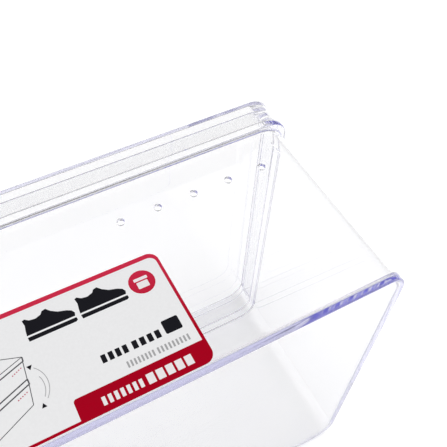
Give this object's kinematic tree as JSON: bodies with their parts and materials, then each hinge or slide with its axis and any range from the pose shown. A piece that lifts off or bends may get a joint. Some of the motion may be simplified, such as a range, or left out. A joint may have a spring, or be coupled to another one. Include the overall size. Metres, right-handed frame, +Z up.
{
  "type": "shoe box",
  "caption": "Clear stackable plastic storage box for a pair of shoes, with a lift-off lid, a flange round the rim, small breathing holes and a printed front label.",
  "frame": {"origin": "middle of the tray's flat underside, on the surface the box stands on", "axes": "+X along the long side, +Y from the labelled front wall to the back wall, +Z up, the way the lid lifts off"},
  "size_m": [0.333, 0.213, 0.1314],
  "materials": {
    "clear_plastic": "clear crystal polystyrene, polished, with a faint lavender tint where it is seen edge-on",
    "label_paper": "satin coated paper with a red printed border"
  },
  "bodies": {
    "tray": {"tray": "clear_plastic", "label": "label_paper"},
    "lid": {"lid": "clear_plastic"}
  },
  "joints": [
    {"name": "lid_lift", "type": "slide", "parent": "tray", "child": "lid", "axis": [0, 0, 1], "range_m": [0, 0.08]}
  ]
}
